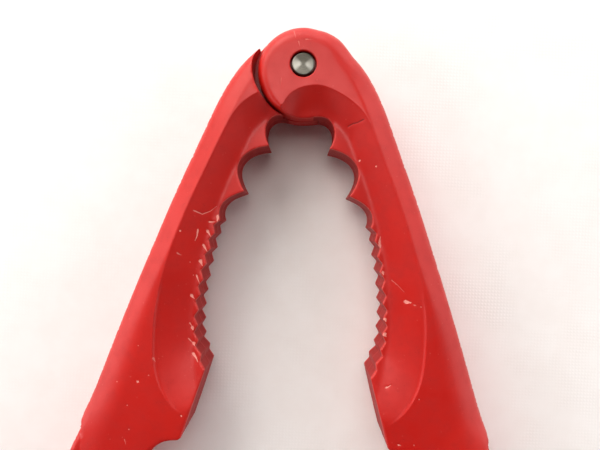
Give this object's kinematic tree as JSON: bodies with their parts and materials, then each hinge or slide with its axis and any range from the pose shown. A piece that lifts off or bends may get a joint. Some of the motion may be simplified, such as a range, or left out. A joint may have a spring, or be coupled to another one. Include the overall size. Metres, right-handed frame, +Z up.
{
  "type": "hinged shellfish and nut cracker",
  "caption": "Hand cracker for shellfish and nuts: two coated cast arms on one steel rivet, with scalloped and finely toothed jaws and long handles.",
  "frame": {"origin": "centre of the bounding box at the face it lies on, with the arms open as stored", "axes": "+Z up through the casting's thickness, +Y from the handles towards the pivot, +X to the right arm"},
  "size_m": [0.1166, 0.1722, 0.014],
  "materials": {
    "red_coat": "semi-gloss baked coating over a cast alloy, slightly uneven",
    "rivet_steel": "turned face, fine concentric marks"
  },
  "bodies": {
    "left": {"left_arm": "red_coat", "pivot_rivet": "rivet_steel"},
    "right": {"right_arm": "red_coat"}
  },
  "joints": [
    {"name": "arm_pivot", "type": "hinge", "parent": "left", "child": "right", "pos_m": [0, 0.0772, 0.007], "axis": [0, 0, 1], "range_deg": [-30, 125]}
  ]
}
